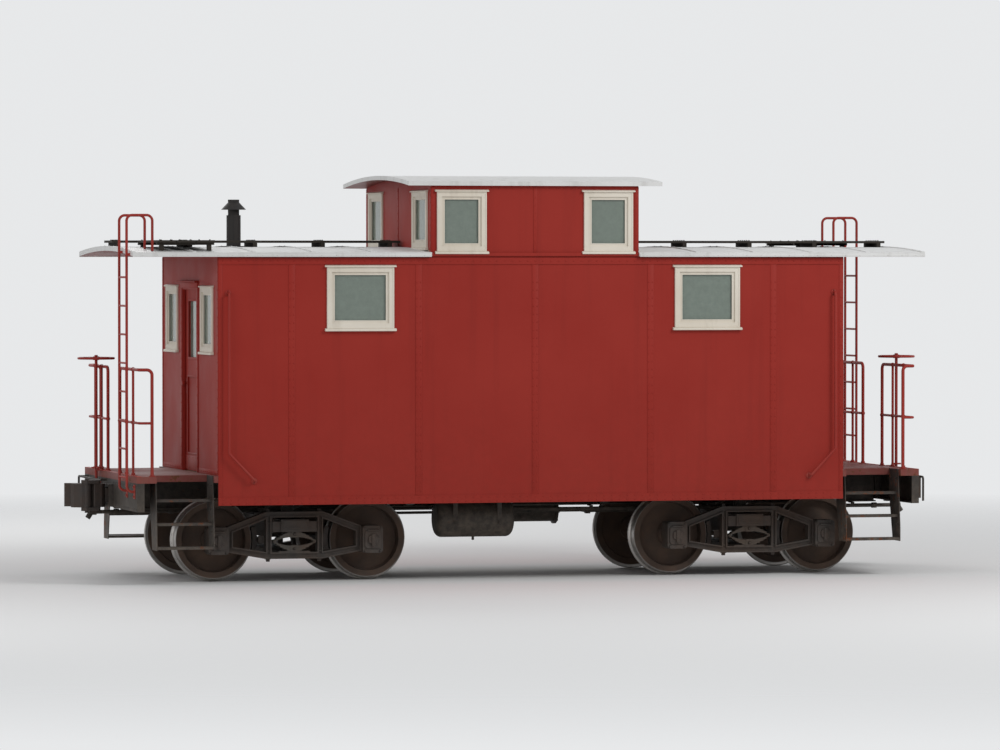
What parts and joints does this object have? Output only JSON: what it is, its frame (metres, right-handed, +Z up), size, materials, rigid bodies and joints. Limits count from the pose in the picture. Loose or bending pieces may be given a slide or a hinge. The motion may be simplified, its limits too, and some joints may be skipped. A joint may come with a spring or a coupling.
{
  "type": "caboose",
  "caption": "Steel railway caboose with a centre cupola, open end platforms, ladders, knuckle couplers and leaf-sprung trucks.",
  "frame": {"origin": "below the middle of the car, at the lowest point of the wheel flanges", "axes": "X along the car towards its right end in the picture, Y across it away from the camera, Z up"},
  "size_m": [9.5802, 3.05, 4.3267],
  "materials": {
    "body_paint": "satin oxide-red enamel, weathered",
    "roof_paint": "aluminium roof paint, weathered",
    "underframe_paint": "dull black, dusty",
    "window_paint": "cream enamel",
    "fittings_paint": "red enamel, worn at the edges",
    "window_glass": "clear pane, dusty",
    "cast_steel": "rough casting, grimy",
    "wheel_steel": "rolled steel, bright at the tread",
    "spring_steel": "dull spring steel, rusty",
    "stove_iron": "black cast iron",
    "walkway_wood": "bare grey planks",
    "joinery_wood": "varnished boards",
    "cushion_cover": "dark brown covering"
  },
  "bodies": {
    "carbody": {"body_bolsters": "underframe_paint", "centre_sill": "underframe_paint", "cross_bearers": "underframe_paint", "side_sills": "underframe_paint", "draft_yokes": "cast_steel", "end_sills": "underframe_paint", "floor": "joinery_wood", "platforms": "fittings_paint", "side_wall_near": "body_paint", "side_wall_far": "body_paint", "end_wall_left": "body_paint", "end_wall_right": "body_paint", "roof_left": "roof_paint", "roof_right": "roof_paint", "cupola_sides": "body_paint", "cupola_ends": "body_paint", "cupola_roof": "roof_paint", "cabin_window_frames": "window_paint", "cabin_window_glass": "window_glass", "cupola_window_frames": "window_paint", "cupola_window_glass": "window_glass", "steps": "underframe_paint", "end_railing_left": "fittings_paint", "end_railing_right": "fittings_paint", "end_ladders": "fittings_paint", "handholds": "fittings_paint", "running_boards": "walkway_wood", "hand_brakes": "fittings_paint", "brake_pipe": "underframe_paint", "brake_cylinder": "underframe_paint", "air_reservoir": "underframe_paint", "uncoupling_levers": "underframe_paint", "stove": "stove_iron", "smoke_jack": "underframe_paint", "benches": "joinery_wood", "desk": "joinery_wood", "cupola_lockers": "joinery_wood", "seat_cushions": "cushion_cover"},
    "truck_left": {"truck_left_side_frames": "cast_steel", "truck_left_bolster": "cast_steel", "truck_left_spring_plank": "cast_steel", "truck_left_springs": "spring_steel", "truck_left_brakes": "cast_steel"},
    "wheelset_left_1": {"wheelset_left_1": "wheel_steel"},
    "wheelset_left_2": {"wheelset_left_2": "wheel_steel"},
    "door_left": {"door_left": "body_paint", "door_glass_left": "window_glass"},
    "coupler_left": {"coupler_left": "cast_steel"},
    "knuckle_left": {"knuckle_left": "cast_steel"},
    "truck_right": {"truck_right_side_frames": "cast_steel", "truck_right_bolster": "cast_steel", "truck_right_spring_plank": "cast_steel", "truck_right_springs": "spring_steel", "truck_right_brakes": "cast_steel"},
    "wheelset_right_1": {"wheelset_right_1": "wheel_steel"},
    "wheelset_right_2": {"wheelset_right_2": "wheel_steel"},
    "door_right": {"door_right": "body_paint", "door_glass_right": "window_glass"},
    "coupler_right": {"coupler_right": "cast_steel"},
    "knuckle_right": {"knuckle_right": "cast_steel"}
  },
  "joints": [
    {"name": "truck_left_swivel", "type": "hinge", "parent": "carbody", "child": "truck_left", "pos_m": [-2.53, 0, 0.681], "axis": [0, 0, 1], "range_deg": [-4, 4]},
    {"name": "wheelset_left_1_spin", "type": "hinge", "parent": "truck_left", "child": "wheelset_left_1", "pos_m": [-3.368, 0, 0.446], "axis": [0, 1, 0], "continuous": true},
    {"name": "wheelset_left_2_spin", "type": "hinge", "parent": "truck_left", "child": "wheelset_left_2", "pos_m": [-1.692, 0, 0.446], "axis": [0, 1, 0], "continuous": true},
    {"name": "door_left_hinge", "type": "hinge", "parent": "carbody", "child": "door_left", "pos_m": [-3.355, -0.389, 1.148], "axis": [0, 0, -1], "range_deg": [0, 90]},
    {"name": "coupler_left_swing", "type": "hinge", "parent": "carbody", "child": "coupler_left", "pos_m": [-3.76, 0, 0.903], "axis": [0, 0, 1], "range_deg": [-7, 7]},
    {"name": "knuckle_left_hinge", "type": "hinge", "parent": "coupler_left", "child": "knuckle_left", "pos_m": [-4.595, -0.088, 0.903], "axis": [0, 0, 1], "range_deg": [0, 45]},
    {"name": "truck_right_swivel", "type": "hinge", "parent": "carbody", "child": "truck_right", "pos_m": [2.53, 0, 0.681], "axis": [0, 0, 1], "range_deg": [-4, 4]},
    {"name": "wheelset_right_1_spin", "type": "hinge", "parent": "truck_right", "child": "wheelset_right_1", "pos_m": [1.692, 0, 0.446], "axis": [0, 1, 0], "continuous": true},
    {"name": "wheelset_right_2_spin", "type": "hinge", "parent": "truck_right", "child": "wheelset_right_2", "pos_m": [3.368, 0, 0.446], "axis": [0, 1, 0], "continuous": true},
    {"name": "door_right_hinge", "type": "hinge", "parent": "carbody", "child": "door_right", "pos_m": [3.355, 0.389, 1.148], "axis": [0, 0, -1], "range_deg": [0, 90]},
    {"name": "coupler_right_swing", "type": "hinge", "parent": "carbody", "child": "coupler_right", "pos_m": [3.76, 0, 0.903], "axis": [0, 0, 1], "range_deg": [-7, 7]},
    {"name": "knuckle_right_hinge", "type": "hinge", "parent": "coupler_right", "child": "knuckle_right", "pos_m": [4.595, 0.088, 0.903], "axis": [0, 0, 1], "range_deg": [0, 45]}
  ]
}
